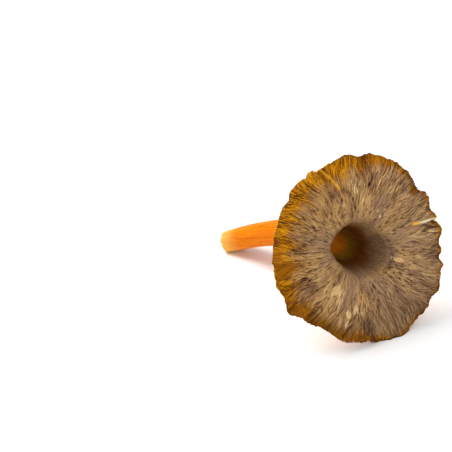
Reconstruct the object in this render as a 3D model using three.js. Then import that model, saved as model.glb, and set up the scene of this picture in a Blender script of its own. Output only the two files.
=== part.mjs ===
// A funnel chanterelle as picked: one fruiting body of thin brown cap, deep funnel, low forking
// ridges under the cap and a hollow golden stem. It lies on a table, held up by the lowest stretch
// of its margin and by the cut end of its stem.
//
// The fruiting body grows as one piece, so it is one mesh. The funnel runs on as the hollow of the
// stem and is open at the cut, so the profile closes on itself: over the cut end, up the outside,
// over the margin and back down the inside. Each point of the turned skin is then moved: the margin
// is lobed and ruffled, the underside ridged, and the stem flattened and bent.
//
// Lengths are in millimetres. The body's own frame has +Y along the funnel's axis, out of its
// mouth, with 0 at the level of the cap's face. The group's frame has +Z up, the table at 0.

import * as THREE from "three";

const { euclideanModulo, lerp, radToDeg, smoothstep } = THREE.MathUtils;

// Driving dimensions.
const CAP_RADIUS = 25;
const MOUTH_RADIUS = 6.8;
const STEM_LENGTH = 60;
const STEM_RADIUS = 4.0;
const BASE_RADIUS = 3.5;
const FLESH = 1.0;
const HOLLOW_RADIUS = 0.58 * BASE_RADIUS;

// How far the margin turns back from the face, and how the lying body presses on the table.
const MARGIN_DROP = 1.3;
const PRESS = 0.75;

// The stem leaves the cap straight and then follows an arc, to the left as seen from the front.
const BEND_START = -6;
const BEND_RADIUS = 95;
const BOW = 2.6;

const RIDGES = 24;
const RIDGE_HEIGHT = 0.45;
const COLUMNS = 4 * RIDGES;

// The margin's lobes: angle round the axis in degrees, from the right and counterclockwise as seen
// from the front, and the margin's distance there as a share of CAP_RADIUS.
const MARGIN_LOBES = [
  [0, 1.006],
  [14, 0.986],
  [60, 1.042],
  [103, 0.973],
  [122, 1.005],
  [155, 0.914],
  [193, 0.975],
  [235, 0.912],
  [265, 1.02],
  [288, 1.085],
  [315, 1.08],
  [343, 0.992],
];

// The mouth of the funnel, written in the same way, as a share of MOUTH_RADIUS.
const MOUTH_LOBES = [
  [0, 1.12],
  [35, 1.0],
  [78, 1.0],
  [118, 0.93],
  [143, 0.92],
  [160, 0.96],
  [185, 0.82],
  [215, 0.74],
  [245, 0.83],
  [275, 0.98],
  [315, 1.24],
  [340, 1.24],
];

// The margin's waves: how many go round, how high each is, and where it starts.
const MARGIN_WAVES = [
  { count: 2, height: 0.6, start: 1.0 },
  { count: 3, height: 0.7, start: 2.1 },
  { count: 5, height: 0.55, start: 4.0 },
  { count: 8, height: 0.25, start: 1.2 },
];

const UNDERSIDE_YELLOW = new THREE.Color(0xd99a12);
const CAP_BROWN = new THREE.Color(0x93713f);

// A stretch of the profile: a smooth curve through [radius, height] points, in that many steps.
function stretch(points, steps) {
  const curve = new THREE.SplineCurve(points.map(([x, y]) => new THREE.Vector2(x, y)));
  return curve.getPoints(steps);
}

// The cut end: a ring, from the edge of the hollow to the outer edge.
function cutEnd() {
  return [
    new THREE.Vector2(HOLLOW_RADIUS, 0.2 - STEM_LENGTH),
    new THREE.Vector2(lerp(HOLLOW_RADIUS, BASE_RADIUS, 0.4), -STEM_LENGTH),
    new THREE.Vector2(0.9 * BASE_RADIUS, 0.1 - STEM_LENGTH),
  ];
}

// The outside: up the stem, which swells gently, then flares into the underside of the cap.
function outside() {
  const edge = CAP_RADIUS - 0.5 * FLESH;
  return stretch(
    [
      [BASE_RADIUS, 0.7 - STEM_LENGTH],
      [STEM_RADIUS, -0.72 * STEM_LENGTH],
      [1.1 * STEM_RADIUS, -0.46 * STEM_LENGTH],
      [1.35 * STEM_RADIUS, -0.27 * STEM_LENGTH],
      [0.28 * CAP_RADIUS, -0.17 * STEM_LENGTH],
      [0.37 * CAP_RADIUS, -0.105 * STEM_LENGTH],
      [0.52 * CAP_RADIUS, -4.0 * FLESH],
      [0.72 * CAP_RADIUS, -2.7 * FLESH],
      [edge, -MARGIN_DROP - FLESH],
    ],
    17,
  );
}

// The margin: a thin round edge.
function margin() {
  return [new THREE.Vector2(CAP_RADIUS, -MARGIN_DROP - 0.5 * FLESH)];
}

// The inside: over the face, down the funnel and on down the hollow stem to the cut.
function inside() {
  const edge = CAP_RADIUS - 0.5 * FLESH;
  return stretch(
    [
      [edge, -MARGIN_DROP],
      [0.82 * CAP_RADIUS, -0.15 * MARGIN_DROP],
      [0.62 * CAP_RADIUS, 0],
      [0.45 * CAP_RADIUS, -0.35],
      [1.15 * MOUTH_RADIUS, -0.95],
      [MOUTH_RADIUS, -2.3],
      [0.88 * MOUTH_RADIUS, -5.6],
      [0.76 * MOUTH_RADIUS, -9.6],
      [0.6 * MOUTH_RADIUS, -0.26 * STEM_LENGTH],
      [0.78 * STEM_RADIUS, -0.42 * STEM_LENGTH],
      [0.66 * STEM_RADIUS, -0.7 * STEM_LENGTH],
      [HOLLOW_RADIUS, 0.2 - STEM_LENGTH],
    ],
    19,
  );
}

// An outline's distance at an angle, as a share of its mean radius, smooth from lobe to lobe.
function lobed(lobes, angle) {
  const degrees = euclideanModulo(radToDeg(angle), 360);
  const before = lobes.findLast(([at]) => at <= degrees);
  const after = lobes.find(([at]) => at > degrees) ?? lobes[0];
  const gap = euclideanModulo(after[0] - before[0], 360);
  return lerp(before[1], after[1], smoothstep(degrees - before[0], 0, gap));
}

// How far the margin rises above or falls below its mean level at an angle.
function ruffle(angle) {
  return MARGIN_WAVES.reduce(
    (sum, { count, height, start }) => sum + height * Math.sin(count * angle + start),
    0,
  );
}

// The ridges stand out of the underside, run down the flare and fade on the stem and the margin.
function ridge(angle, radius, height) {
  const onFlare = smoothstep(height, -0.42 * STEM_LENGTH, -0.2 * STEM_LENGTH);
  const insideMargin = 1 - smoothstep(radius, 0.86 * CAP_RADIUS, CAP_RADIUS);
  return RIDGE_HEIGHT * onFlare * insideMargin * Math.cos(RIDGES * angle);
}

// The stem is a little flattened, as such hollow stems are, and has a shallow groove on each side.
function stemShare(angle, height) {
  const onStem = 1 - smoothstep(height, -0.4 * STEM_LENGTH, -0.12 * STEM_LENGTH);
  return 1 + onStem * (0.08 * Math.cos(2 * angle + 0.7) - 0.04 * Math.cos(4 * angle + 0.2));
}

// The mouth is wide and gentle on the right and tight on the left; the throat below it is round.
function mouthShare(angle, radius, height) {
  const atLip = 1 - smoothstep(radius, 1.2 * MOUTH_RADIUS, 1.6 * MOUTH_RADIUS);
  const inThroat = smoothstep(-height, 0.1, 0.9) * (1 - smoothstep(-height, 4, 14));
  return lerp(1, lobed(MOUTH_LOBES, angle), atLip * inThroat);
}

// Where the section at that height, at offsets a and b from its centre, lies on the bent stem.
function bent(a, b, height) {
  const down = Math.max(BEND_START - height, 0);
  const turn = down / BEND_RADIUS;
  const straight = Math.max(height, BEND_START);
  const bow = BOW * Math.sin((Math.PI * down) / (STEM_LENGTH + BEND_START));
  return new THREE.Vector3(
    a * Math.cos(turn) - BEND_RADIUS * (1 - Math.cos(turn)),
    straight - BEND_RADIUS * Math.sin(turn) - a * Math.sin(turn),
    -(b + bow),
  );
}

// The closed skin: the turned profile with each point moved to its place.
function skin() {
  const outer = [...cutEnd(), ...outside()];
  const profile = [...outer, ...margin(), ...inside()];
  const geometry = new THREE.LatheGeometry(profile, COLUMNS);
  const position = geometry.getAttribute("position");
  const colours = new Float32Array(3 * position.count);
  for (let i = 0; i < position.count; i += 1) {
    const row = i % profile.length;
    const { x: radius, y: height } = profile[row];
    const angle = Math.atan2(-position.getZ(i), position.getX(i));
    const onCap = smoothstep(radius, 0.3 * CAP_RADIUS, CAP_RADIUS);
    const isOuter = row < outer.length;
    const relief = isOuter ? -ridge(angle, radius, height) : 0;
    const section = stemShare(angle, height) * (isOuter ? 1 : mouthShare(angle, radius, height));
    const out = radius * lerp(1, lobed(MARGIN_LOBES, angle), onCap) * section;
    const lift = onCap * onCap * ruffle(angle) + relief;
    const point = bent(out * Math.cos(angle), out * Math.sin(angle), height + lift);
    position.setXYZ(i, point.x, point.y, point.z);
    const colour = isOuter ? UNDERSIDE_YELLOW : CAP_BROWN;
    colour.toArray(colours, 3 * i);
  }
  geometry.setAttribute("color", new THREE.BufferAttribute(colours, 3));
  return geometry;
}

// The slope at which the body rests: the margin and the cut end both touch the table.
function restingSlope(geometry) {
  const position = geometry.getAttribute("position");
  const lowest = (slope, onCap) => {
    const low = { reach: -Infinity };
    for (let i = 0; i < position.count; i += 1) {
      const along = position.getY(i);
      const below = position.getZ(i);
      const reach = below * Math.cos(slope) - along * Math.sin(slope);
      if (along > -0.5 * STEM_LENGTH === onCap && reach > low.reach) {
        Object.assign(low, { reach, along, below });
      }
    }
    return low;
  };
  let slope = 0;
  for (let step = 0; step < 6; step += 1) {
    const rim = lowest(slope, true);
    const foot = lowest(slope, false);
    slope = Math.atan2(rim.below - foot.below, rim.along - foot.along);
  }
  return slope;
}

// Lays the body down and flattens the soft flesh where it presses on the table.
function layDown(mesh) {
  mesh.rotation.x = Math.PI - restingSlope(mesh.geometry);
  const box = new THREE.Box3().setFromObject(mesh, true);
  const centre = box.getCenter(new THREE.Vector3());
  mesh.position.set(-centre.x, -centre.y, -box.min.z - PRESS);
  mesh.updateMatrixWorld();
  const table = new THREE.Plane(new THREE.Vector3(0, 0, 1), 0);
  table.applyMatrix4(mesh.matrixWorld.clone().invert());
  const position = mesh.geometry.getAttribute("position");
  const point = new THREE.Vector3();
  for (let i = 0; i < position.count; i += 1) {
    point.fromBufferAttribute(position, i);
    const depth = table.distanceToPoint(point);
    if (depth < 0) point.addScaledVector(table.normal, -depth);
    position.setXYZ(i, point.x, point.y, point.z);
  }
}

const mushroom = new THREE.Mesh(
  skin(),
  new THREE.MeshStandardMaterial({ vertexColors: true, roughness: 0.6, metalness: 0 }),
);
mushroom.name = "mushroom";
layDown(mushroom);

const part = new THREE.Group();
part.add(mushroom);

export default part;
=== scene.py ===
# %% [markdown]
# # A funnel chanterelle, as picked
#
# This lesson dresses one mushroom: a brown, fibrous cap with a deep funnel in its middle, low
# forking ridges under the cap and a bent, hollow, golden stem. It lies on its side, on the edge of
# the cap and on the cut end of the stem.
#
# The imported solid is the fixed frame. It is loaded first, and its box is kept, so that the
# mushroom can be laid where the solid lies. Everything is worked out in millimetres and turned
# into metres when a mesh is made.

# %% Load the frame
import math

import bpy
import numpy as np
from mathutils import Euler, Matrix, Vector


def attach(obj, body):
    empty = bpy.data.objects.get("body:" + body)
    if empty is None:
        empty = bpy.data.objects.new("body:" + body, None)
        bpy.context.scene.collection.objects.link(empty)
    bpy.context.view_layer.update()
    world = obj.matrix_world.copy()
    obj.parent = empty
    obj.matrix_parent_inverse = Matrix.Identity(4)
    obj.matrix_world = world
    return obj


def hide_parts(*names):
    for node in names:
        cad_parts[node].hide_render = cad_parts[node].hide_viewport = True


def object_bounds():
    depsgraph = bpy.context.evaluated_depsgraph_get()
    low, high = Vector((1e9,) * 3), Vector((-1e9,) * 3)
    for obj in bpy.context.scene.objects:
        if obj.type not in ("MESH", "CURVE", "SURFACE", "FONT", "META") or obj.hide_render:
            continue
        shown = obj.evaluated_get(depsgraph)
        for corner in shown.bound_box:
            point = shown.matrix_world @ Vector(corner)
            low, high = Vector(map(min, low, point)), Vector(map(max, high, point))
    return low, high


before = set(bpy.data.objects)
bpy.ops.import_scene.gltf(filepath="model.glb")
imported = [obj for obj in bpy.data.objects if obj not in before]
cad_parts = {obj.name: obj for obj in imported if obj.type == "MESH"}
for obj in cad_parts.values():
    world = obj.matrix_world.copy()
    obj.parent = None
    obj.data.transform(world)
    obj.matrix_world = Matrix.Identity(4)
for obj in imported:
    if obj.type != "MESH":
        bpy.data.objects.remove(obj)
cad_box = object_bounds()
MM = 0.001
print("frame:", [round(side / MM, 1) for side in cad_box[1] - cad_box[0]], "mm")

# %% [markdown]
# ## The form
#
# A mushroom like this grows outwards from its middle, so nearly all of its form is a profile
# turned round an axis: over the cut end, up the outside of the stem, along the underside, over the
# margin and back down the funnel into the hollow. It could be sculpted by hand, but a turned grid
# of points is better here: every point then knows its angle and how far it is from the margin, and
# the ridges, fibres, creases and colours can all be written in those two.
#
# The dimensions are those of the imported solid, and the grid has a column for each half degree. The
# body's own frame has +Y along the funnel's axis. A lobe is an angle in degrees and the outline's
# distance there, as a share of its mean radius. A wave is how many go round, how high they are in
# millimetres, and where they start.

# %% Driving dimensions
CAP_RADIUS = 25
MOUTH_RADIUS = 6.8
STEM_LENGTH = 60
STEM_RADIUS = 4.0
BASE_RADIUS = 3.5
FLESH = 1.0
HOLLOW_RADIUS = 0.58 * BASE_RADIUS
MARGIN_DROP = 1.3
PRESS = 0.75
BEND_START = -6
BEND_RADIUS = 95
BOW = 2.6
COLUMNS = 720

MARGIN_LOBES = [
    (0, 1.006), (14, 0.986), (60, 1.042), (103, 0.973), (122, 1.005), (155, 0.914),
    (193, 0.975), (235, 0.912), (265, 1.02), (288, 1.085), (315, 1.08), (343, 0.992),
]
MOUTH_LOBES = [
    (0, 1.12), (35, 1.0), (78, 1.0), (118, 0.93), (143, 0.92), (160, 0.96),
    (185, 0.82), (215, 0.74), (245, 0.83), (275, 0.98), (315, 1.24), (340, 1.24),
]
MARGIN_WAVES = [(2, 0.6, 1.0), (3, 0.7, 2.1), (5, 0.55, 4.0), (8, 0.25, 1.2)]


def smoothstep(x, low, high):
    """0 below low, 1 above high, and smooth between."""
    t = np.clip((x - low) / (high - low), 0, 1)
    return t * t * (3 - 2 * t)


def bump(distance, width):
    """A smooth bell: 1 at no distance, and almost 0 past twice the width."""
    return np.exp(-((distance / width) ** 2))


def angle_gap(angle, centre):
    """The signed angle from centre to angle, at most half a turn."""
    return (angle - centre + np.pi) % (2 * np.pi) - np.pi


# %% [markdown]
# ## The profile
#
# The outside and the inside are smooth curves through a few given points. The curve is a
# Catmull-Rom spline, which passes through its points, so each point is a real place on the
# mushroom. The points along it are then spread so that the cap, which carries the detail, gets the
# most rows, and the unseen hollow gets few.

# %% Profile curves
def spline(points, steps=400):
    """Points on a Catmull-Rom curve through the given ones."""
    p = np.array(points, float)
    p = np.vstack([p[0], p, p[-1]])
    t = np.linspace(0, len(points) - 1, steps)
    i = np.minimum(t.astype(int), len(points) - 2)
    t = (t - i)[:, None]
    a, b, c, d = p[i], p[i + 1], p[i + 2], p[i + 3]
    v0, v1 = 0.5 * (c - a), 0.5 * (d - b)
    return (2 * b - 2 * c + v0 + v1) * t**3 + (3 * c - 3 * b - 2 * v0 - v1) * t**2 + v0 * t + b


def spread(curve, gaps):
    """The curve's points respaced: gaps is a list of (length in mm, rows), and the rest is even."""
    along = np.concatenate([[0], np.cumsum(np.linalg.norm(np.diff(curve, axis=0), axis=1))])
    stops = [0.0]
    for length, rows in gaps:
        end = along[-1] if length is None else stops[-1] + length
        stops += list(np.linspace(stops[-1], end, rows + 1)[1:])
    return np.stack([np.interp(stops, along, curve[:, k]) for k in (0, 1)], axis=1)


# %% Outside and inside
EDGE = CAP_RADIUS - 0.5 * FLESH
outside = spline([
    (BASE_RADIUS, 0.7 - STEM_LENGTH),
    (STEM_RADIUS, -0.72 * STEM_LENGTH),
    (1.1 * STEM_RADIUS, -0.46 * STEM_LENGTH),
    (1.35 * STEM_RADIUS, -0.27 * STEM_LENGTH),
    (0.28 * CAP_RADIUS, -0.17 * STEM_LENGTH),
    (0.37 * CAP_RADIUS, -0.105 * STEM_LENGTH),
    (0.52 * CAP_RADIUS, -4.0 * FLESH),
    (0.72 * CAP_RADIUS, -2.7 * FLESH),
    (EDGE, -MARGIN_DROP - FLESH),
])
inside = spline([
    (EDGE, -MARGIN_DROP),
    (0.82 * CAP_RADIUS, -0.15 * MARGIN_DROP),
    (0.62 * CAP_RADIUS, 0),
    (0.45 * CAP_RADIUS, -0.35),
    (1.15 * MOUTH_RADIUS, -0.95),
    (MOUTH_RADIUS, -2.3),
    (0.88 * MOUTH_RADIUS, -5.6),
    (0.76 * MOUTH_RADIUS, -9.6),
    (0.6 * MOUTH_RADIUS, -0.26 * STEM_LENGTH),
    (0.78 * STEM_RADIUS, -0.42 * STEM_LENGTH),
    (0.66 * STEM_RADIUS, -0.7 * STEM_LENGTH),
    (HOLLOW_RADIUS, 0.2 - STEM_LENGTH),
])
print("curves:", len(outside), "and", len(inside), "points")

# %% The closed profile
cut_end = np.array([
    (HOLLOW_RADIUS + 0.2, -STEM_LENGTH),
    (0.5 * (HOLLOW_RADIUS + BASE_RADIUS), -STEM_LENGTH),
    (0.9 * BASE_RADIUS, 0.1 - STEM_LENGTH),
])
rim = np.array([
    (CAP_RADIUS - 0.12 * FLESH, -MARGIN_DROP - 0.85 * FLESH),
    (CAP_RADIUS, -MARGIN_DROP - 0.5 * FLESH),
    (CAP_RADIUS - 0.12 * FLESH, -MARGIN_DROP - 0.15 * FLESH),
])
outer_rows = spread(outside, [(40, 26), (None, 38)])
inner_rows = spread(inside, [(18, 36), (11, 15), (None, 14)])
profile = np.vstack([cut_end, outer_rows, rim, inner_rows])
ROWS = len(profile)
rim_row = len(cut_end) + len(outer_rows) + 1

radius = profile[:, :1]
height = profile[:, 1:]
step_lengths = np.linalg.norm(np.diff(profile, axis=0), axis=1)
arc = np.concatenate([[0], np.cumsum(step_lengths)])[:, None]
from_rim = np.abs(arc - arc[rim_row])
inner = smoothstep(arc - arc[rim_row], -0.4, 0.6)
angle = (np.arange(COLUMNS) * 2 * np.pi / COLUMNS)[None, :]
print("profile:", ROWS, "rows,", 2 * ROWS * COLUMNS, "triangles in the turned skin")


# %% [markdown]
# ## Lobes, ruffles and the bend
#
# Three simple moves turn the round profile into this mushroom. The margin's distance follows a
# short list of lobes, the margin rises and falls in a few waves, and the stem's sections are moved
# along an arc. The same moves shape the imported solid, so the dressed mushroom fits it.

# %% Moves of the form
def lobed(lobes, angle):
    """An outline's distance at an angle, as a share of its mean radius."""
    at = np.radians([a for a, _ in lobes] + [360])
    share = np.array([s for _, s in lobes] + [lobes[0][1]])
    a = angle % (2 * np.pi)
    i = np.clip(np.searchsorted(at, a, side="right") - 1, 0, len(at) - 2)
    t = smoothstep(a, at[i], at[i + 1])
    return share[i] + (share[i + 1] - share[i]) * t


def bent(across, up, level):
    """Where the section at that level lies on the bent stem."""
    down = np.maximum(BEND_START - level, 0)
    turn = down / BEND_RADIUS
    bow = BOW * np.sin(np.pi * down / (STEM_LENGTH + BEND_START))
    x = across * np.cos(turn) - BEND_RADIUS * (1 - np.cos(turn))
    y = np.maximum(level, BEND_START) - BEND_RADIUS * np.sin(turn) - across * np.sin(turn)
    return np.stack(np.broadcast_arrays(x, y, -(up + bow)), axis=-1)


def grown(angle, radius, height, jag=0.0, lift=0.0):
    """The grown skin, with the margin moved outwards by jag and raised by lift, in mm."""
    on_cap = smoothstep(radius, 0.3 * CAP_RADIUS, CAP_RADIUS)
    on_stem = 1 - smoothstep(height, -0.4 * STEM_LENGTH, -0.12 * STEM_LENGTH)
    flat = 1 + on_stem * (0.08 * np.cos(2 * angle + 0.7) - 0.04 * np.cos(4 * angle + 0.2))
    in_throat = smoothstep(-height, 0.1, 0.9) * (1 - smoothstep(-height, 4, 14))
    in_throat = in_throat * inner * (1 - smoothstep(radius, 1.2 * MOUTH_RADIUS, 1.6 * MOUTH_RADIUS))
    flat = flat * (1 + in_throat * (lobed(MOUTH_LOBES, angle) - 1))
    ruffle = sum(h * np.sin(count * angle + start) for count, h, start in MARGIN_WAVES)
    out = radius * (1 + (lobed(MARGIN_LOBES, angle) - 1) * on_cap) * flat + on_cap**6 * jag
    level = height + on_cap**2 * ruffle + on_cap**4 * lift
    return bent(out * np.cos(angle), out * np.sin(angle), level)


skin = grown(angle, radius, height)
print("grown:", np.round(np.ptp(skin.reshape(-1, 3), axis=0), 1), "mm")

# %% [markdown]
# ## Laying it down
#
# A round thing on a stalk doesn't stand: it tips until its margin and the cut end of its stem both
# touch the table. The slope is found by turning the body until the lowest point of the cap and the
# lowest point of the stem are level. The soft flesh then presses flat where it carries the weight.
# The place on the table is taken from the frame's box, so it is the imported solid's own.


# %% Lay the body down
def resting_slope(points):
    """The slope at which cap and stem both touch the table."""
    y, z = points[..., 1], points[..., 2]
    on_cap = y > -0.5 * STEM_LENGTH
    slope = 0.0
    for _ in range(6):
        reach = z * math.cos(slope) - y * math.sin(slope)
        cap = np.argmax(np.where(on_cap, reach, -np.inf))
        foot = np.argmax(np.where(on_cap, -np.inf, reach))
        slope = math.atan2(z.flat[cap] - z.flat[foot], y.flat[cap] - y.flat[foot])
    return slope


SLOPE = resting_slope(skin)


def turned(points):
    """Points or directions of the body's frame in the row's frame, about the same origin."""
    s, c = math.sin(SLOPE), math.cos(SLOPE)
    x, y, z = points[..., 0], points[..., 1], points[..., 2]
    return np.stack([x, -c * y - s * z, s * y - c * z], axis=-1)


lying = turned(skin).reshape(-1, 3)
frame_low = np.array(cad_box[0]) / MM
frame_high = np.array(cad_box[1]) / MM
middle = (lying.min(0) + lying.max(0)) / 2
origin = (frame_low + frame_high) / 2 - middle
origin[2] = -lying[:, 2].min() - PRESS


def laid(points):
    """Points of the body's frame in the row's frame, pressed flat where they meet the table."""
    placed = turned(points) + origin
    placed[..., 2] = np.maximum(placed[..., 2], 0)
    return placed


print("slope:", round(math.degrees(SLOPE), 2), "degrees, cap centre at", np.round(origin, 2), "mm")

# %% [markdown]
# ## Random but repeatable
#
# Fibres, folds and pits need chance, but the same mushroom has to grow on every run. Each helper
# gets its own seeded generator. The lattice noise below is random numbers on a grid that wraps
# round the axis, blended smoothly: few values in a turn give broad folds, many give fine fibres.


# %% Lattice noise
def lattice(around, step, seed, angle=angle, along=arc):
    """Smooth random values from -1 to 1: `around` in a turn, and one for each `step` mm along."""
    rng = np.random.default_rng(seed)
    count = int(np.ptp(arc) / step) + 3
    values = rng.uniform(-1, 1, (count, around))
    column = (angle / (2 * np.pi) % 1) * around
    row = np.clip((along - arc.min()) / step, 0, count - 2)
    i, j = row.astype(int), column.astype(int)
    s, t = smoothstep(row - i, 0, 1), smoothstep(column - j, 0, 1)
    j, k = j % around, (j + 1) % around
    low = values[i, j] * (1 - t) + values[i, k] * t
    high = values[i + 1, j] * (1 - t) + values[i + 1, k] * t
    return low * (1 - s) + high * s


# %% [markdown]
# ## Forking ridges
#
# Under the cap are low, blunt ridges instead of gills. They start on the stem and fork twice
# on the way to the margin. Each ridge is a line on the skin, and a fork is the same line drawn
# twice with its two halves drifting apart. A point's height is that of the nearest line, so the
# ridges melt into each other where they part, as the real ones do.

# %% Ridges under the cap
RIDGES = 24
RIDGE_HEIGHT = 0.62
RIDGE_WIDTH = 0.5

sector = 2 * np.pi / RIDGES
ridge_rng = np.random.default_rng(5)
ridge_crest = np.zeros((ROWS, COLUMNS))
wander = 0.02 * lattice(40, 7, 31)
for i in range(RIDGES):
    centre = i * sector + ridge_rng.uniform(-0.12, 0.12) * sector
    first = ridge_rng.uniform(7.5, 11)
    for side in (-1, 1):
        second = ridge_rng.uniform(13, 19)
        for twig in (-1, 1):
            parted = side * sector / 4 * smoothstep(radius, first, first + 5)
            twigs = twig * sector / 8 * smoothstep(radius, second, second + 4)
            distance = angle_gap(angle + wander, centre + parted + twigs) * radius
            ridge_crest = np.maximum(ridge_crest, bump(distance, RIDGE_WIDTH))
on_flare = smoothstep(height, -0.5 * STEM_LENGTH, -0.2 * STEM_LENGTH)
to_margin = 1 - smoothstep(radius, 0.8 * CAP_RADIUS, 0.985 * CAP_RADIUS)
veins = np.maximum(lattice(120, 1.6, 41), 0) * 0.12
under = 1 - inner
ridges = under * on_flare * (0.15 + 0.85 * to_margin)
ridges = ridges * (RIDGE_HEIGHT * ridge_crest + veins - 0.4 * RIDGE_HEIGHT)
print("ridges:", RIDGES, "on the stem,", 4 * RIDGES, "at the margin")

# %% [markdown]
# ## The face of the cap
#
# The upper skin isn't smooth. Broad folds fan out towards the margin, fine fibres lie along them,
# and small pits sit round the funnel. They could be sculpted, or come from an image of heights. As
# fields over the grid they stay sharp at any size, and the same fields can steer the colours later.

# %% Folds, fibres and pits
PITS = 300
PIT_SIDES = [130, -35]

outer_zone = smoothstep(radius, 0.35 * CAP_RADIUS, CAP_RADIUS)
folds = inner * outer_zone * (0.6 * lattice(26, 12, 51) + 0.45 * lattice(58, 7, 52))
fibre_relief = 0.05 * lattice(330, 2.6, 53) + 0.035 * lattice(210, 1.8, 54)
fibre_relief = fibre_relief * inner * smoothstep(radius, MOUTH_RADIUS, 0.6 * CAP_RADIUS)

pit_rng = np.random.default_rng(61)
pits = np.zeros((ROWS, COLUMNS))
for _ in range(PITS):
    pit_angle = pit_rng.normal(math.radians(pit_rng.choice(PIT_SIDES)), 0.8)
    pit_radius = pit_rng.uniform(1.3 * MOUTH_RADIUS, 0.7 * CAP_RADIUS)
    size = pit_rng.uniform(0.5, 1.3)
    across = angle_gap(angle, pit_angle) * pit_radius
    pits = np.maximum(pits, bump(across, 0.15 * size) * bump(radius - pit_radius, 0.4 * size))
pits = pits * inner
print("folds up to", round(float(folds.max()), 2), "mm high, and", PITS, "pits")

# %% [markdown]
# ## A valley and a tear
#
# One valley runs in from the margin at the upper left. At the right the margin is torn: the upper
# lip of the tear stands a little proud and its edge shows bare flesh, brightened on its outer part
# into a painted highlight, and the lower lip is bent down. Cutting the mesh open would leave holes,
# so each is only a bell or a step across a line that runs in from the margin. A gap is the distance
# from that line, in millimetres.

# %% Valley
VALLEY_ANGLE = math.radians(103.3)
VALLEY_START = 0.66 * CAP_RADIUS
valley_gap = (angle_gap(angle, VALLEY_ANGLE) - 0.0195 * (radius - CAP_RADIUS)) * radius
valley_along = smoothstep(radius, VALLEY_START, 0.95 * CAP_RADIUS)
valley = valley_along * bump(valley_gap - 0.6, 0.8) * 0.8
valley_line = bump(valley_gap, 0.22) * smoothstep(radius, VALLEY_START, VALLEY_START + 2) * inner
print("valley:", round(float(valley.max()), 2), "mm deep")

# %% Tear
TEAR_ANGLE = math.radians(4.7)
TEAR_START = 0.66 * CAP_RADIUS
tear_gap = angle_gap(angle, TEAR_ANGLE) * radius
tear_along = smoothstep(radius, TEAR_START, 0.96 * CAP_RADIUS)
tear_upper = smoothstep(tear_gap, -0.25, 0.15) * np.exp(-np.maximum(tear_gap, 0) / 3)
tear_lower = (1 - smoothstep(tear_gap, -0.45, 0.05)) * np.exp(np.minimum(tear_gap, 0) / 2.2)
tear = tear_along * (0.45 * tear_upper - 0.85 * tear_lower)
tear_edge = bump(tear_gap - 1.25 + 0.15 * (radius - 18), 0.42)
tear_edge = tear_edge * smoothstep(radius, 17, 18.4) * inner
print("tear: from", round(float(tear.min()), 2), "to", round(float(tear.max()), 2), "mm")

# %% [markdown]
# ## The lip of the funnel
#
# The face rolls down into the funnel gently on the right and tightly on the left. A shallow dip
# round the mouth, deeper on the right, gives that roll. It is measured from the mouth's own uneven
# outline. Many things on this mushroom belong to one side of it, so a helper names a side once: an
# angle, counted from the right and counterclockwise as seen from the front, and how far it spreads.


# %% Soft sectors and the dip of the lip
def towards(at, wide, angle=angle):
    """A soft sector of the turn, in degrees: 1 at that angle, almost 0 past twice the width."""
    return bump(angle_gap(angle, math.radians(at)), math.radians(wide))


lip_side = towards(-10, 65)
from_lip = np.hypot(skin[..., 0], skin[..., 2]) - MOUTH_RADIUS * lobed(MOUTH_LOBES, angle)
lip_dip = (0.3 + 0.6 * lip_side) * (1 - smoothstep(from_lip, 0, 5.5))
lip_dip = lip_dip * (1 - smoothstep(-height, 2, 7)) * inner
print("lip lowered by up to", round(float(lip_dip.max()), 2), "mm")

# %% [markdown]
# ## The ochre band
#
# The brown skin thins out towards the margin, so the golden flesh shows in an ochre band, several
# millimetres wide on the left and about one on the right. Painting a mask would give it too, but a
# list of sectors says plainly what is there: where, how far it spreads round the turn, and how many
# millimetres it adds. Noise round the turn makes its inner edge uneven, and the margin's deepest
# notch has a patch of ochre of its own.

# %% Ochre band
BAND_WIDTH = 1.0
BAND_SECTORS = [(165, 60, 5.0), (85, 32, 3.0), (255, 25, 1.4), (204, 10, 1.6), (184, 8, 1.8)]
NOTCH_ANGLE = math.radians(31)
NOTCH_RADIUS = 23.4

band = sum((more * towards(at, wide) for at, wide, more in BAND_SECTORS), BAND_WIDTH)
band = band * (1 + 0.25 * lattice(40, 400, 101) + 0.3 * lattice(84, 400, 110))
on_face = smoothstep(arc - arc[rim_row], -1.1, -0.4)
ochre = on_face * (1 - smoothstep(from_rim, 0.1 * band, 1.5 * band))
notch_gap = angle_gap(angle, NOTCH_ANGLE) * radius
ochre = np.maximum(ochre, 0.9 * bump(notch_gap, 1.5) * bump(radius - NOTCH_RADIUS, 1.7) * inner)
print("band: from", round(float(band.min()), 1), "to", round(float(band.max()), 1), "mm wide")

# %% [markdown]
# ## Wash and dark edge
#
# Two weaker tints go with the band. A thin wash of ochre reaches further in, and the last
# millimetre of the margin has dried to a dark brown line. The line is faint on the golden left side
# and strongest at the lower left, where it also eats into the band; its extra width and darkness
# there are painted shade on the lower side.

# %% Wash and dark edge
golden_side = towards(150, 75)
wash_reach = band * (2.1 + 1.7 * towards(108, 34))
wash = inner * (1 - smoothstep(from_rim, 0.7 * band, wash_reach)) * (0.5 + 0.5 * golden_side)

# The dried line, widened at the lower side as painted shade.
dark_width = 1.0 + 1.8 * towards(258, 42)
dried_edge_and_shade = on_face * (1 - smoothstep(from_rim, 0.2, dark_width)) * (0.6 - 0.45 * golden_side)
dried_edge_and_shade = dried_edge_and_shade * (0.75 + 0.5 * lattice(120, 400, 106))
low_side = towards(235, 23)
# At the lower left the dark line, partly painted shade, reaches over the band.
dried_edge_and_shade = np.maximum(dried_edge_and_shade, 0.75 * low_side * ochre)
ochre = ochre * (1 - 0.3 * low_side * (1 + lattice(90, 6, 109)))
print("dark edge up to", round(float(dark_width.max()), 1), "mm wide")
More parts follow.
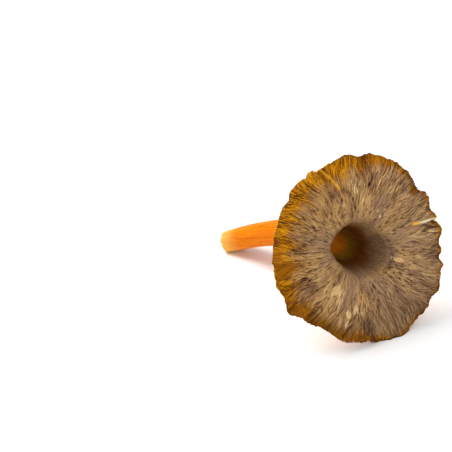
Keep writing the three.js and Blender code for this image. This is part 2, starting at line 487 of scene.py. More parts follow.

# %% [markdown]
# ## Scuffs, tints, stains and painted shade
#
# Here and there the skin is scuffed off and pale flesh shows. Elsewhere the felt is a little
# lighter or darker than round about, and its lower side and some blotches are a duller brown, partly
# real stains and partly painted shade. These are places on this one mushroom, so they are listed.
# Each row is an angle in degrees, then in millimetres a radius, a width across the fibres and a
# length along them, and last a strength.

# %% Places on the skin
SCUFFS = [
    (230, 12.4, 2.1, 2.2, 0.95), (236, 15.0, 1.2, 1.8, 0.8), (249, 17.6, 1.2, 1.4, 1.0),
    (257, 16.0, 0.9, 1.5, 1.0), (262, 16.8, 0.7, 1.5, 0.6), (335, 9.9, 0.6, 1.2, 1.1),
    (333.5, 12.6, 0.65, 1.7, 1.2), (226, 13.6, 0.9, 1.0, 0.8), (79, 17.0, 2.2, 2.6, 0.6),
    (40, 11.2, 0.55, 0.5, 1.0), (36, 12.4, 0.4, 0.7, 0.9), (47, 11.9, 0.45, 0.4, 0.8),
    (359, 21.6, 1.1, 0.8, 1.0), (96, 12.8, 0.4, 0.7, 0.8), (128, 9.8, 0.5, 0.9, 0.6),
    (249, 20.4, 0.7, 1.3, 0.8),
]
TINTS = [
    (328, 17.5, 4.0, 3.5, 0.9), (347, 18.0, 3.5, 3.5, 1.0), (354, 19.0, 2.0, 3.0, -0.7),
    (14, 18.5, 2.2, 3.0, 1.1), (34, 18.7, 2.4, 2.4, 2.2), (45, 22.0, 2.4, 1.8, -0.8),
    (56, 22.5, 2.0, 2.0, -0.5), (67, 20.5, 3.0, 4.0, -1.2), (87, 22.5, 3.0, 3.0, 1.3),
    (100, 22.0, 2.4, 3.0, -0.9), (117, 22.5, 2.4, 2.5, -1.0), (132, 22.5, 2.4, 3.0, 1.2),
    (138, 20.5, 3.0, 3.0, -0.4), (184, 18.0, 2.6, 2.5, -1.2), (210, 21.5, 3.0, 3.0, -0.9),
    (237, 19.0, 3.2, 3.2, 1.3), (258, 21.0, 3.5, 3.5, -1.2), (273, 19.0, 4.0, 3.5, -0.6),
    (300, 17.0, 4.0, 2.5, -0.3),
]
STAINS_AND_SHADE = [
    (302, 20.6, 2.8, 2.2, 1.2), (263, 20.8, 1.3, 2.2, 1.2), (21, 23.5, 0.8, 0.8, 1.4),
    (2, 24.3, 0.6, 0.6, 1.5), (335, 19.0, 1.2, 1.5, 0.7), (205, 16.5, 1.6, 1.8, 0.8),
    (160, 17.0, 1.2, 2.2, 0.8), (120, 19.5, 1.3, 1.8, 0.7), (214, 22.5, 1.9, 1.6, 1.3),
]
print("places:", len(SCUFFS), "scuffs,", len(TINTS), "tints and", len(STAINS_AND_SHADE), "stains")


# %% Patches from the places
def patches(places):
    """A soft patch for each place, as a field over the grid."""
    for at, distance, across, along, strength in places:
        aside = angle_gap(angle, math.radians(at)) * distance
        yield strength * bump(aside, across) * bump(radius - distance, along)


scuffed = np.maximum.reduce(list(patches(SCUFFS))) * inner
mottle = 0.6 * lattice(22, 5, 107) + 0.5 * lattice(56, 3, 108) + sum(patches(TINTS))
# Painted shade darkens the outer lower side, and the stains, partly painted shade, join it.
stains_and_shade = towards(281, 46) * smoothstep(radius, 14, 23)
stains_and_shade = stains_and_shade * (0.8 + 0.5 * lattice(30, 5, 105))
stains_and_shade = np.maximum.reduce([stains_and_shade, *patches(STAINS_AND_SHADE)]) * inner
patch_tone = 0.5 + 0.5 * lattice(16, 6, 103) + 0.25 * lattice(44, 4, 104)
patch_tone = np.clip(patch_tone + 0.35 * np.cos(angle - math.radians(130)), 0, 1)
gold_line = np.maximum(valley_line, tear_edge * (1 - smoothstep(radius, 18.5, 21)))
# The tear's outer edge: bare cream flesh, brightened into a painted highlight.
cream_flesh_and_highlight = tear_edge * smoothstep(radius, 18.5, 21)
print("scuffed share of the points:", round(float((scuffed > 0.5).mean()), 4))

# %% [markdown]
# ## Colours of the funnel
#
# Inside the mouth the brown skin ends and the flesh turns to a dusky gold. That change lies deeper
# on the right and at the bottom, where the face rolls in gently. A painted shade darkens the felt in
# a ring round the mouth. Further down, one side of the wall gets a painted glow, a bright colour
# that stands in for light shining through the thin flesh, and a mask says where.

# %% Dusk, lip and glow
low_lip = towards(262, 34)
dusk = inner * smoothstep(-height - 3.6 * lip_side - 3.0 * low_lip, 0.4, 5.2)
# Painted shade: the felt darkens in a ring round the mouth, more on the right.
lip_shade = np.minimum(0.45 + 0.4 * lip_side + 0.4 * towards(125, 45), 1)
lip_shade = lip_shade * (1 - smoothstep(from_lip, 0.2, 2.4 + 2.4 * lip_side)) * inner
# Painted glow: one side of the deep wall is painted bright, as if light shone through the flesh.
painted_glow_side = 0.2 + 0.8 * towards(-50, 75)
print("lip shade up to", round(float(lip_shade.max()), 2))

# %% [markdown]
# ## The edge of the cap
#
# The margin is finely notched where fibres end, and on the right it has dried into teeth one or
# two millimetres wide. Its outline is moved in and out by noise, more on the right, and by a few
# small swells, listed as an angle, a spread and a size in millimetres. It is crimped
# up and down a little too, so the edge isn't a clean line from any side.

# %% Notches, teeth and swells
SWELLS = [
    (345, 3, 1.4), (356, 5, 1.0), (6, 5, 0.3), (17, 3, 0.5), (22, 3, 0.5), (30, 4, -1.4),
    (36, 3, 0.2), (75, 4, -1.0), (104, 3, -0.4), (109.5, 2.5, 0.3), (115, 4, -0.7),
    (122, 4, -0.6), (131.5, 5, -1.1), (197, 3.5, -0.5), (206, 3.5, 0.9), (258, 4, -0.9),
    (266, 5, -1.0), (284, 8, 1.4), (293, 5, -0.6), (305, 12, 0.6), (317, 4, 0.1),
    (326, 4, 0.8), (341, 3, -0.6),
]
ragged_side = 0.4 + 0.6 * smoothstep(np.abs(angle_gap(angle, math.radians(-18))), 1.5, 0.9)
ragged = lattice(150, 400, 71) * 0.22 + lattice(75, 400, 72) * 0.3
fine = lattice(340, 400, 73) * 0.16
notches = 0.9 * np.abs(lattice(48, 400, 76)) + 0.3 * np.abs(lattice(110, 400, 77)) - 0.3
swells = sum(size * towards(at, wide) for at, wide, size in SWELLS)
valley_notch = -0.5 * bump(valley_gap - 0.9, 0.6)
tear_notch = -0.5 * bump(tear_gap + 0.3, 0.35)
jag = (ragged + notches) * ragged_side + fine + swells + valley_notch + tear_notch
print("margin moved by", np.round([jag.min(), jag.max()], 2), "mm")

# %% Crimps
lift = 0.3 * lattice(44, 400, 74) + 0.3 * ragged_side * lattice(90, 400, 75) - 0.5 * valley + tear
lift = lift + 1.5 * towards(285, 15)
print("margin raised by", np.round([lift.min(), lift.max()], 2), "mm")

# %% [markdown]
# ## The stem
#
# The stem is soft and fibrous, with a few shallow grooves along it and a slightly lumpy skin. It
# was cut, so its end is a ragged ring round the hollow. Noise with few values in a turn and long
# steps along the stem gives grooves at once, where sculpting would take a stroke for each.

# %% Grooves and cut
stem_side = under * (1 - smoothstep(height, -0.45 * STEM_LENGTH, -0.2 * STEM_LENGTH))
grooves = 0.1 * lattice(14, 30, 81) + 0.06 * lattice(34, 12, 82) + 0.07 * lattice(9, 5, 83)
grooves = stem_side * grooves
at_cut = smoothstep(-height, STEM_LENGTH - 1.2, STEM_LENGTH - 0.2)
cut_ragged = at_cut * 0.22 * lattice(46, 2, 84)
print("grooves from", np.round([grooves.min(), grooves.max()], 2), "mm")

# %% [markdown]
# ## The mushroom's mesh
#
# The form is grown again with the moved margin, and the relief is added along its normals. A normal
# is the cross product of the two directions along the grid. Masks that the finish needs are stored
# as attributes of the points, so the colours and the shape come from the same fields.


# %% Relief along the normals
def normals_of(points):
    """Unit normals of a turned grid, pointing out of the flesh."""
    down = np.gradient(points, axis=0)
    around = np.roll(points, -1, axis=1) - np.roll(points, 1, axis=1)
    normal = np.cross(around, down)
    return normal / np.maximum(np.linalg.norm(normal, axis=-1, keepdims=True), 1e-9)


grown_skin = grown(angle, radius, height, jag, lift)
normals = normals_of(grown_skin)
relief = ridges + folds + fibre_relief - 0.3 * pits + grooves + cut_ragged
relief = relief + 0.25 * tear_edge - lip_dip
relief = relief - (inner - under) * valley * (1 - 0.5 * smoothstep(radius, 20, 25))
skin_points = grown_skin + normals * relief[..., None]
row_points = laid(skin_points)
print("relief from", round(float(relief.min()), 2), "to", round(float(relief.max()), 2), "mm")

# %% [markdown]
# ## From grid to mesh
#
# The grid closes on itself both ways, so the faces come from one rule with wrapped indices. The UV
# map spreads the skin by angle and by row. It is only there so that the colours can be baked, and
# nothing in the finish reads it. The fibre coordinates are a ring of constant size in x and y with
# the length along the profile in z, so noise read from them never shows a seam.


# %% Mesh helper
def mesh_object(name, points, faces, uvs=None, **attributes):
    """A mesh from points in mm, with point attributes given by name."""
    mesh = bpy.data.meshes.new(name)
    mesh.from_pydata(points * MM, [], faces)
    mesh.shade_smooth()
    for key, values in attributes.items():
        kind = "FLOAT_VECTOR" if values.ndim == 2 else "FLOAT"
        layer = mesh.attributes.new(key, kind, "POINT")
        layer.data.foreach_set("vector" if values.ndim == 2 else "value", values.ravel())
    if uvs is not None:
        mesh.uv_layers.new(name="OFBake").data.foreach_set("uv", uvs.ravel())
    mesh.validate()
    piece = bpy.data.objects.new(name, mesh)
    bpy.context.scene.collection.objects.link(piece)
    return piece


# %% Faces and UV map
row, column = np.divmod(np.arange(ROWS * COLUMNS), COLUMNS)
row_next, column_next = (row + 1) % ROWS, (column + 1) % COLUMNS
corners = [(row, column), (row, column_next), (row_next, column_next), (row_next, column)]
faces = np.stack([r * COLUMNS + c for r, c in corners], axis=1)
u = np.stack([column, column + 1, column + 1, column], axis=1) / COLUMNS
v = np.stack([row, row, row + 1, row + 1], axis=1) / ROWS
print("faces:", len(faces))


# %% The mushroom
def per_point(field):
    """A field over the grid as one value for each point."""
    return np.ascontiguousarray(np.broadcast_to(field, (ROWS, COLUMNS)), dtype=np.float32).ravel()


swirl = 0.06 * lattice(24, 8, 91) + 0.03 * lattice(60, 4, 92)
ring_x, ring_y = CAP_RADIUS * np.cos(angle + swirl), CAP_RADIUS * np.sin(angle + swirl)
ring = np.stack([per_point(ring_x), per_point(ring_y), per_point(arc)], axis=1)
masks = {
    "out": radius, "level": height, "pit": pits, "crest": ridge_crest, "ochre": ochre,
    "scuffed": scuffed, "gold": gold_line, "cream": cream_flesh_and_highlight, "patch": patch_tone,
    "wash": wash, "face": on_face, "edge": dried_edge_and_shade, "shade": stains_and_shade, "mottle": mottle,
    "lit": painted_glow_side, "dusk": dusk, "lip": lip_shade,
}
mushroom = mesh_object(
    "mushroom_body", row_points.reshape(-1, 3), faces.tolist(), np.stack([u, v], axis=-1),
    fibre=ring, **{name: per_point(field) for name, field in masks.items()},
)
print(mushroom.name, "has", len(masks), "masks")
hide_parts("mushroom")
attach(mushroom, "root")

# %% [markdown]
# ## Fibres on the cap
#
# The dark and tan streaks on the cap are real fibres, about a third of a millimetre wide. They are
# short round the funnel and up to eight millimetres long towards the margin, where they part a
# little at the edge. Blender's hair would give them quickly, but hair is lost when the model is
# exported. So each fibre here is a thin tapered strip with a ridge along its middle, three sides
# round, laid on the skin by looking up places on the same grid. All share one mesh.


# %% Reading the grid between its points
def on_skin(field, at_row, at_angle):
    """The value of a grid field at fractional rows and at angles, blended from its neighbours."""
    column = (at_angle / (2 * np.pi) % 1) * COLUMNS
    i, j = np.clip(at_row.astype(int), 0, ROWS - 2), column.astype(int) % COLUMNS
    s, t = at_row - i, column - np.floor(column)
    s, t = (s[..., None], t[..., None]) if field.ndim == 3 else (s, t)
    k = (j + 1) % COLUMNS
    low = field[i, j] * (1 - t) + field[i, k] * t
    return low * (1 - s) + (field[i + 1, j] * (1 - t) + field[i + 1, k] * t) * s


# %% Roots, lengths and widths
FIBRES = 5200
FIBRE_STEPS = 6
FIRST_ROOT = 5.4
LAST_ROOT = 0.985 * CAP_RADIUS

fibre_rng = np.random.default_rng(111)
root_share = fibre_rng.uniform(0, 1, (FIBRES, 1)) ** 0.62
root_radius = FIRST_ROOT + (LAST_ROOT - FIRST_ROOT) * root_share
root_angle = fibre_rng.uniform(0, 2 * np.pi, (FIBRES, 1))
far_out = smoothstep(root_radius, 8, 22)
length = fibre_rng.uniform(0.6, 1.6, (FIBRES, 1))
length = length + far_out * fibre_rng.uniform(0.25, 1, (FIBRES, 1)) ** 1.6 * 6.5
width = fibre_rng.uniform(0.08, 0.19, (FIBRES, 1)) * (0.8 + 0.5 * far_out)
chance = fibre_rng.uniform(0, 1, (FIBRES, 1))
print("fibres:", round(float(length.mean()), 1), "mm long and",
      round(float(2 * width.mean()), 2), "mm wide on average")

# %% [markdown]
# ## Paths of the fibres
#
# A fibre's path is six places, each a row of the grid and an angle. It follows the swirl of the
# skin, with a bow and a drift of its own. A fibre that runs past the margin stays at the last row
# and stands out over the edge by a quarter of a millimetre at most. None crosses the bare flesh of
# the valley and the tear.

# %% Paths over the skin
FACE_ROWS = 50
OVERHANG = 0.25

along = np.linspace(0, 1, FIBRE_STEPS)[None, :]
face_first = rim_row + 1
face_rows = np.arange(face_first, face_first + FACE_ROWS)
reach = root_radius + length * along
over = np.clip(reach - CAP_RADIUS, 0, OVERHANG)
path_radius = np.minimum(reach, CAP_RADIUS)
path_row = np.interp(-path_radius, -profile[face_rows, 0], face_rows)
sweep = 1.3 * on_skin(swirl, path_row, root_angle + 0 * along)
bow = fibre_rng.normal(0, 0.02, (FIBRES, 1)) * np.sin(np.pi * along)
drift = fibre_rng.normal(0, 0.15, (FIBRES, 1)) * along * length / path_radius
path_angle = root_angle - sweep + bow + drift
clear = on_skin(gold_line + cream_flesh_and_highlight, path_row, path_angle).max(axis=1) < 0.25
print("paths:", int(clear.sum()), "of", FIBRES, "keep clear of the bare lines")

# %% [markdown]
# ## Tones of the fibres
#
# Tone is how light a fibre is, from 0 to 1. Chance spreads it, but neighbours also agree, as they
# do on the real felt: broad clumps are lighter or darker together, and follow the tints of the
# skin. The spread is wide near the margin and on the left. It is small in the ochre band, except at
# its bright upper part, and small on the quieter right and lower sides.

# %% Tone of each fibre
bright_side = towards(117, 34)
# Fibres darken a little under the stains and painted shade.
clump = 0.38 * lattice(90, 4, 113) + 0.22 * mottle - 0.1 * stains_and_shade
clump = clump + ochre * (0.65 * bright_side + (0.6 + 0.8 * bright_side) * lattice(84, 9, 115))

root_row = path_row[:, 2:3]
in_ochre = on_skin(ochre, root_row, root_angle)
left_side = towards(175, 60, root_angle) * smoothstep(root_radius, 9, 14)
calm = 0.85 * in_ochre * (1 - 0.85 * towards(122, 34, root_angle))
quiet = 0.34 * (1 - towards(125, 80, root_angle))
quiet = quiet + (0.2 - 0.6 * far_out) * towards(295, 35, root_angle)
spread_of_tone = (0.34 + 0.8 * far_out + 0.3 * left_side) * (1 - calm) * (1 - quiet)
swing = 0.5 * np.sin(np.pi * (chance - 0.5))
tone = 0.53 + 0.05 * left_side + swing * spread_of_tone
tone = np.clip(tone + on_skin(clump, root_row, root_angle) * (1 - 0.4 * in_ochre), 0, 1)
print("tone:", round(float(tone.mean()), 2), "on average")

# %% [markdown]
# ## Strips along the fibres
#
# Along each path go three lines: a crown that stands proud of the skin by a share of the fibre's
# width, and an edge on each side that is sunk into the skin, so no gap shows under it. Tips may
# lift a little, more near the margin, and the strip tapers at both ends.

# %% Crown and edges
CROWN_SHARE = 0.36
CROWN_CLEAR = 0.015
EDGE_SUNK = 0.03
OUTWARD_ROWS = 3

row_at, angle_at, radius_at, over_at = (f[clear] for f in (path_row, path_angle, path_radius, over))
taper = np.sin(np.pi * np.clip(along * 0.94 + 0.05, 0, 1)) ** 0.6
half = width[clear] * taper / radius_at
edge_out = on_skin(skin_points, face_first + 0 * row_at, angle_at)
edge_out = edge_out - on_skin(skin_points, face_first + OUTWARD_ROWS + 0 * row_at, angle_at)
edge_out = edge_out / np.linalg.norm(edge_out, axis=-1, keepdims=True) * over_at[..., None]
up = on_skin(normals, row_at, angle_at)
tip_lift = fibre_rng.uniform(-0.04, 0.14, (FIBRES, 1))[clear] * along**3 * far_out[clear]
crown = on_skin(skin_points, row_at, angle_at)
crown = crown + up * (CROWN_SHARE * width[clear] * taper + CROWN_CLEAR + tip_lift)[..., None]
sink = up * (EDGE_SUNK - tip_lift)[..., None]
side_a = on_skin(skin_points, row_at, angle_at - half) - sink
side_b = on_skin(skin_points, row_at, angle_at + half) - sink
fibre_points = laid(np.stack([side + edge_out for side in (side_a, crown, side_b)], axis=2))
print("strips:", fibre_points.shape[0], "of", 3 * FIBRE_STEPS, "points")

# %% The fibres' mesh
fibre_count = len(fibre_points)
ring_index = np.arange(fibre_count * FIBRE_STEPS * 3).reshape(fibre_count, FIBRE_STEPS, 3)
beside = np.roll(ring_index, -1, axis=2)
quads = np.stack([ring_index[:, :-1], beside[:, :-1], beside[:, 1:], ring_index[:, 1:]], axis=-1)
ends = np.concatenate([ring_index[:, 0, ::-1], ring_index[:, -1]])
fibre_faces = quads.reshape(-1, 4).tolist() + ends.tolist()


def per_fibre(field):
    """A field over the fibres' paths as one value for each point of the strips."""
    return np.repeat(np.broadcast_to(field, row_at.shape).reshape(-1), 3).astype(np.float32)


shared = ["ochre", "wash", "scuffed", "pit", "edge", "patch", "shade", "lip", "dusk"]
fibres = mesh_object(
    "cap_fibres", fibre_points.reshape(-1, 3), fibre_faces,
    tone=per_fibre(tone[clear]), chance=per_fibre(chance[clear] ** 2),
    **{name: per_fibre(on_skin(masks[name], row_at, angle_at)) for name in shared},
)
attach(fibres, "root")
print("triangles:", sum(len(f.vertices) - 2 for f in fibres.data.polygons))

# %% [markdown]
# ## Shader maths as Python
#
# A finish here is many masks mixed in sums and products. Wiring them by hand would hide the
# reasoning, so one small class wraps a socket and turns +, - and * into Math nodes. A second one
# holds a material. Its method node makes any other node: first its settings, then the values or
# links of its sockets.


# %% Socket wrapper
class Value:
    """A node's output that can be used in Python arithmetic."""

    def __init__(self, finish, socket):
        self.finish = finish
        self.socket = socket

    def math(self, operation, *terms):
        return self.finish.node("ShaderNodeMath", {"operation": operation}, dict(enumerate(terms)))

    def __add__(self, other):
        return self.math("ADD", self, other)

    def __sub__(self, other):
        return self.math("SUBTRACT", self, other)

    def __rsub__(self, other):
        return self.math("SUBTRACT", other, self)

    def __mul__(self, other):
        return self.math("MULTIPLY", self, other)

    __radd__ = __add__
    __rmul__ = __mul__


# %% Node maker
class Finish:
    """A material, with one method that makes nodes and a few that name common ones."""

    def __init__(self, name):
        self.material = bpy.data.materials.new(name)
        self.material.use_nodes = True
        self.tree = self.material.node_tree
        self.shader = self.tree.nodes["Principled BSDF"]

    def node(self, kind, settings=None, sockets=None, out=0):
        node = self.tree.nodes.new(kind)
        for key, value in (settings or {}).items():
            if key == "stops":
                self.set_stops(node.color_ramp, value)
            else:
                setattr(node, key, value)
        for key, value in (sockets or {}).items():
            self.feed(node.inputs[key], value)
        return Value(self, node.outputs[out])

    @staticmethod
    def set_stops(ramp, stops):
        for position, colour in stops[1:-1]:
            ramp.elements.new(position)
        for element, (position, colour) in zip(ramp.elements, stops):
            element.position, element.color = position, colour

    def feed(self, socket, value):
        if isinstance(value, Value):
            self.tree.links.new(value.socket, socket)
        else:
            socket.default_value = value

    def set(self, **sockets):
        """Sets or links the shader's own sockets, with _ for a space in their names."""
        for key, value in sockets.items():
            self.feed(self.shader.inputs[key.replace("_", " ")], value)

    def field(self, name, out="Fac"):
        return self.node("ShaderNodeAttribute", {"attribute_name": name}, out=out)

    def rise(self, value, low, high):
        """0 below low, 1 above high, and smooth between."""
        smooth = {"interpolation_type": "SMOOTHSTEP"}
        return self.node("ShaderNodeMapRange", smooth, {0: value, 1: low, 2: high})

    def mix(self, share, first, second):
        return self.node("ShaderNodeMix", {"data_type": "RGBA"}, {0: share, 6: first, 7: second}, 2)

    def noise(self, vector, stretch, scale, detail, roughness, distortion=0.0):
        """Noise about 1/scale mm fine, drawn out by the stretch of the coordinates."""
        times = {"operation": "MULTIPLY"}
        drawn = self.node("ShaderNodeVectorMath", times, {0: vector, 1: stretch})
        sockets = {
            "Vector": drawn, "Scale": scale, "Detail": detail, "Roughness": roughness,
            "Distortion": distortion,
        }
        return self.node("ShaderNodeTexNoise", None, sockets)


def srgb(red, green, blue):
    """A colour as it looks on a screen, 0 to 255, in the linear values that light adds up in."""
    shares = [c / 255 for c in (red, green, blue)]
    linear = [s / 12.92 if s <= 0.04045 else ((s + 0.055) / 1.055) ** 2.4 for s in shares]
    return (*linear, 1.0)


# %% [markdown]
# ## The finish of the mushroom
#
# The cap's skin is a felt of brown fibres over golden flesh. Up close it is streaks: dark ones a
# few millimetres long and a third of a millimetre wide, between tan ones. Noise whose coordinates
# are drawn out along the profile gives such streaks at any size, where painted hairs would need an
# image. The same fields that shaped the mesh say where the skin thins out, where it is scuffed and
# where the ridges stand.
#
# The felt is nearly opaque, but the flesh of the funnel, the ridges and the stem lets light
# through. That amount belongs to a whole material, so the mesh has two, which meet inside the funnel
# and at the margin and have the same colours there. The orange glow deep in one side of the funnel
# is a painted glow in the colour.

# %% Palette of the felt
DARK_FIBRE = srgb(70, 43, 22)
BROWN_FIBRE = srgb(126, 86, 50)
TAUPE = srgb(164, 127, 96)
TAN = srgb(200, 156, 98)
PALE_FIBRE = srgb(240, 202, 142)
# Real stains, and painted shade on the lower side.
STAIN_AND_SHADE = srgb(88, 62, 42)
OCHRE_DARK = srgb(92, 54, 5)
OCHRE_DEEP = srgb(144, 84, 3)
OCHRE = srgb(184, 115, 6)
GOLDEN = srgb(220, 154, 14)
# The dried margin, with painted shade on the lower side.
DRIED_EDGE_AND_SHADE = srgb(70, 42, 10)
SCUFF = srgb(240, 206, 142)
SCUFF_SHADE = srgb(206, 164, 116)
BARE_GOLD = srgb(255, 190, 50)
# Bare cream flesh, brightened into a painted highlight.
BARE_CREAM_AND_HIGHLIGHT = srgb(255, 238, 190)
PIT = srgb(38, 24, 14)
# A painted shade round the funnel's mouth.
PAINTED_LIP_SHADE = srgb(82, 58, 38)

# %% Palette of the flesh
WALL = srgb(130, 76, 26)
WALL_DARK = srgb(88, 48, 14)
# A painted glow deep in the funnel, for light shining through the thin flesh.
GLOW = srgb(255, 226, 66)
GLOW_DEEP = srgb(250, 186, 44)
RIDGE_VALLEY = srgb(176, 108, 16)
RIDGE_CREST = srgb(232, 160, 26)
STEM_ORANGE = srgb(238, 138, 0)
STEM_STREAK = srgb(206, 90, 0)
CUT_CREAM = srgb(244, 206, 110)

# %% [markdown]
# ## Layers of colour
#
# The colours go on in layers, as the real ones lie: brown felt first, then the golden margin over
# it, then the marks, and last the funnel. Each layer is one function that takes the colour so far
# and mixes its own over it, so a layer can be left out to see what it does.


# %% Streaks and brown felt
def streaks(finish):
    """Coarse and fine noise, drawn out along the fibres."""
    fibre = finish.field("fibre", "Vector")
    coarse = finish.noise(fibre, (1, 1, 0.13), 1.5, 4, 0.6, 0.25)
    fine = finish.noise(fibre, (1, 1, 0.2), 3.6, 3, 0.6, 0.2)
    return coarse, fine


def brown_felt(finish, fine, dark):
    """Taupe and tan in patches, with pale and dark fibres, and speckled round the funnel."""
    speckle = finish.noise(finish.field("fibre", "Vector"), (1, 1, 0.5), 1.9, 3, 0.7)
    near_funnel = finish.rise(finish.field("out"), 15.0, 7.0)
    colour = finish.mix(finish.rise(finish.field("patch"), 0.2, 0.8), TAUPE, TAN)
    colour = finish.mix(finish.rise(finish.field("mottle"), 0.0, -0.8) * 0.5, colour, BROWN_FIBRE)
    colour = finish.mix(finish.rise(fine, 0.48, 0.7) * 0.45, colour, PALE_FIBRE)
    colour = finish.mix(dark * (0.72 - near_funnel * 0.32), colour, DARK_FIBRE)
    colour = finish.mix(finish.rise(speckle, 0.52, 0.62) * near_funnel * 0.6, colour, DARK_FIBRE)
    # Stains and painted shade on the lower side.
    return finish.mix(finish.field("shade") * 0.5, colour, STAIN_AND_SHADE)


# %% Golden margin and marks
def golden_margin(finish, colour, coarse, fine, dark):
    """The ochre wash, the band and the dark edge over a colour."""
    golden = finish.mix(finish.rise(fine, 0.4, 0.6), OCHRE_DEEP, OCHRE)
    golden = finish.mix(dark * 0.8, golden, OCHRE_DARK)
    in_band = finish.rise(finish.field("ochre") + coarse * 0.6, 0.45, 1.0)
    colour = finish.mix(finish.field("wash") * 0.45, colour, OCHRE)
    colour = finish.mix(in_band, colour, golden)
    # The dried edge, with painted shade at the lower side.
    return finish.mix(finish.field("edge") * 0.85, colour, DRIED_EDGE_AND_SHADE)


def marks(finish, colour, coarse, fine):
    """Scuffs, the bare lines of valley and tear, with a painted highlight on the tear's, and pits."""
    bared = finish.rise(finish.field("scuffed") + fine * 1.8, 1.22, 1.74)
    scuff = finish.mix(finish.rise(coarse, 0.4, 0.6), SCUFF, SCUFF_SHADE)
    colour = finish.mix(bared, colour, scuff)
    colour = finish.mix(finish.field("gold"), colour, BARE_GOLD)
    # The tear's outer edge, with its painted highlight.
    colour = finish.mix(finish.field("cream"), colour, BARE_CREAM_AND_HIGHLIGHT)
    return finish.mix(finish.field("pit"), colour, PIT)


# %% Funnel, and all layers together
def funnel(finish, colour, coarse):
    """Painted lip shade over a colour, then the wall below, with a painted glow deep on one side."""
    # Painted glow deep down on one side of the wall.
    deep_down = finish.rise(finish.field("level"), -9.0, -19.0) * finish.field("lit")
    wall = finish.mix(finish.rise(coarse, 0.42, 0.6), WALL, WALL_DARK)
    glow = finish.mix(finish.rise(coarse, 0.4, 0.62), GLOW, GLOW_DEEP)
    wall = finish.mix(deep_down, wall, glow)
    # Painted shade in a ring round the mouth.
    colour = finish.mix(finish.field("lip") * 0.7, colour, PAINTED_LIP_SHADE)
    return finish.mix(finish.field("dusk"), colour, wall)


def face_colour(finish, coarse, fine):
    """The colour of the cap's face and of the funnel's inside."""
    dark = finish.rise(coarse, 0.5, 0.64) * (finish.rise(fine, 0.62, 0.42) * 0.75 + 0.25)
    colour = brown_felt(finish, fine, dark)
    colour = golden_margin(finish, colour, coarse, fine, dark)
    colour = marks(finish, colour, coarse, fine)
    return funnel(finish, colour, coarse)


# %% The felt of the cap's face
felt = Finish("cap_felt")
felt_coarse, felt_fine = streaks(felt)
felt_bump = {"Height": felt_coarse + felt_fine * 0.5, "Strength": 0.6, "Distance": 0.3 * MM}
felt.set(
    Base_Color=face_colour(felt, felt_coarse, felt_fine),
    Roughness=felt_fine * 0.3 + 0.55,
    Normal=felt.node("ShaderNodeBump", None, felt_bump),
    Subsurface_Weight=0.08, Subsurface_Radius=(1.0, 0.5, 0.2), Subsurface_Scale=0.8 * MM,
    Specular_IOR_Level=0.12,
)
print(felt.material.name, len(felt.tree.nodes), "nodes")

# %% [markdown]
# ## Golden flesh
#
# The ridges are pale on their crests and deeper gold between them. Down the flare the gold turns to
# the orange of the stem, which has darker streaks along it, and the cut end is cream. Light that
# goes in comes out again nearly three millimetres away, red furthest, which gives a soft glow; the
# bright glow deep in the funnel is a painted glow in the colour.

# %% The golden flesh of funnel, ridges and stem
flesh = Finish("golden_flesh")
flesh_coarse, flesh_fine = streaks(flesh)
level_mm = flesh.field("level")
stem_streaks = flesh.rise(flesh_coarse, 0.38, 0.64)
under_cap = flesh.mix(flesh.field("crest"), RIDGE_VALLEY, RIDGE_CREST)
stem_tone = flesh.mix(stem_streaks, STEM_ORANGE, STEM_STREAK)
outer = flesh.mix(flesh.rise(level_mm, -9.0, -20.0), under_cap, stem_tone)
outer = flesh.mix(flesh.rise(level_mm, -52.0, -60.0) * 0.6, outer, CUT_CREAM)
inside_colour = face_colour(flesh, flesh_coarse, flesh_fine)
flesh_bump = {"Height": flesh_coarse + flesh_fine * 0.4, "Strength": 0.3, "Distance": 0.15 * MM}
flesh.set(
    Base_Color=flesh.mix(flesh.field("face"), outer, inside_colour),
    Roughness=stem_streaks * 0.2 + 0.4,
    Normal=flesh.node("ShaderNodeBump", None, flesh_bump),
    Subsurface_Weight=0.6, Subsurface_Radius=(1.0, 0.78, 0.14), Subsurface_Scale=2.8 * MM,
    Specular_IOR_Level=0.06,
)

# %% Which faces get which finish
FELT_DEPTH = -8
mushroom.data.materials.append(flesh.material)
mushroom.data.materials.append(felt.material)
face_of_cap = (row > rim_row) & (profile[row, 1] > FELT_DEPTH)
mushroom.data.polygons.foreach_set("material_index", face_of_cap.astype(np.int32))
print("felt on", int(face_of_cap.sum()), "of", len(face_of_cap), "faces")

# %% [markdown]
# ## The fibres' finish
#
# A fibre takes its colour from its tone, through one ramp of browns on the felt and one of ochres
# in the band. The masks of the skin below then tint it just as they tint the felt, so that a fibre
# never looks laid on. Fibres scatter no light inside: they are too thin for it to be seen.

# %% Ramps of a fibre
COOL_FIBRE = srgb(138, 106, 86)
PIT_FIBRE = srgb(40, 24, 12)
DUSK_FIBRE = srgb(92, 58, 22)
SCUFFED_FIBRE = srgb(210, 164, 112)
CREAM_FIBRE = srgb(255, 230, 168)
FELT_TONES = {"stops": [
    (0.0, DARK_FIBRE), (0.1, DARK_FIBRE), (0.26, BROWN_FIBRE), (0.5, TAUPE), (0.76, TAN),
    (1.0, PALE_FIBRE),
]}
OCHRE_TONES = {"stops": [
    (0.0, OCHRE_DARK), (0.2, OCHRE_DARK), (0.46, OCHRE_DEEP), (0.8, OCHRE), (1.0, GOLDEN),
]}

# %% Colour of a fibre
fibre_finish = Finish("cap_fibre")
mix, rise, field = fibre_finish.mix, fibre_finish.rise, fibre_finish.field
tone_share, chance_share = field("tone"), field("chance")
on_felt = fibre_finish.node("ShaderNodeValToRGB", FELT_TONES, {0: tone_share})
on_ochre = fibre_finish.node("ShaderNodeValToRGB", OCHRE_TONES, {0: tone_share})
strand = mix((1 - field("patch")) * 0.45, on_felt, COOL_FIBRE)
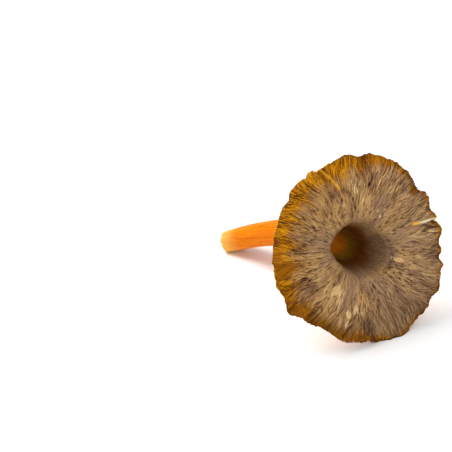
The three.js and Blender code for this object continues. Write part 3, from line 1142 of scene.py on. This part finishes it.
# Stains and painted shade on the fibres too.
strand = mix(field("shade") * 0.5, strand, STAIN_AND_SHADE)
strand = mix(field("wash") * tone_share * 0.6, strand, OCHRE_DEEP)
strand = mix(rise(field("ochre") + chance_share * 0.2, 0.08, 0.9), strand, on_ochre)
# The dried edge and its painted shade on the fibres too.
strand = mix(field("edge") * 0.8, strand, DRIED_EDGE_AND_SHADE)
strand = mix(field("pit"), strand, PIT_FIBRE)
scuffed_strand = mix(chance_share, SCUFFED_FIBRE, CREAM_FIBRE)
strand = mix(rise(field("scuffed") + chance_share * 0.5, 0.5, 0.95), strand, scuffed_strand)
# Painted shade round the mouth, on the fibres too.
strand = mix(field("lip") * 0.7, strand, PAINTED_LIP_SHADE)
strand = mix(field("dusk") * 0.8, strand, DUSK_FIBRE)
fibre_finish.set(Base_Color=strand, Roughness=0.75 - tone_share * 0.15, Specular_IOR_Level=0.06)
fibres.data.materials.append(fibre_finish.material)
print("finishes:", [m.name for m in bpy.data.materials if m.users])

# %% [markdown]
# ## Table, light and camera
#
# The table is a sheet so wide that it fills every view. One broad lamp, high at the left and a
# little behind, gives a soft shadow, and a bright even room fills it in. Smaller or stronger lamps
# would put hard glints on the felt. The camera stands half a metre away, to the left of the front
# and above. It is turned a few degrees to the left, so the mushroom lies right of the middle.

# %% Table
TABLE_HALF = 900
corner_signs = np.array([(-1, -1, 0), (1, -1, 0), (1, 1, 0), (-1, 1, 0)])
table = mesh_object("table", TABLE_HALF * corner_signs, [(0, 1, 2, 3)])
paper = Finish("pale_table")
paper.set(Base_Color=(0.93, 0.93, 0.94, 1), Roughness=0.9)
table.data.materials.append(paper.material)
print("table:", 2 * TABLE_HALF, "mm a side")

# %% Room and lamp
world = bpy.data.worlds.new("soft_room")
world.use_nodes = True
background = world.node_tree.nodes["Background"]
background.inputs["Color"].default_value = (1.0, 0.99, 0.97, 1)
background.inputs["Strength"].default_value = 0.75
bpy.context.scene.world = world
bpy.context.scene.view_settings.view_transform = "Standard"

LAMP_PLACE = Vector((-0.2, 0.18, 0.5))
lamp_data = bpy.data.lights.new("key", "AREA")
lamp_data.size, lamp_data.energy = 0.3, 2.6
lamp = bpy.data.objects.new("key", lamp_data)
lamp.location = LAMP_PLACE
lamp.rotation_euler = (-LAMP_PLACE).to_track_quat("-Z", "Y").to_euler()
bpy.context.scene.collection.objects.link(lamp)
print("lamp:", round(LAMP_PLACE.length, 2), "m from the origin")

# %% Camera
CAMERA_AZIMUTH = math.radians(-28)
CAMERA_ELEVATION = math.radians(33)
CAMERA_DISTANCE = 0.5
CAMERA_TURN = Euler((math.radians(0.75), math.radians(4.0), 0))

back = Vector((
    math.sin(CAMERA_AZIMUTH) * math.cos(CAMERA_ELEVATION),
    -math.cos(CAMERA_AZIMUTH) * math.cos(CAMERA_ELEVATION),
    math.sin(CAMERA_ELEVATION),
))
camera = bpy.data.objects.new("camera", bpy.data.cameras.new("camera"))
camera.location = Vector(origin * MM) + back * CAMERA_DISTANCE
facing = (-back).to_track_quat("-Z", "Y")
camera.rotation_euler = (facing @ CAMERA_TURN.to_quaternion()).to_euler()
camera.data.lens = 149.5
camera.data.sensor_width = 36
bpy.context.scene.collection.objects.link(camera)
bpy.context.scene.camera = camera
print("camera at", [round(c, 3) for c in camera.location], "m")
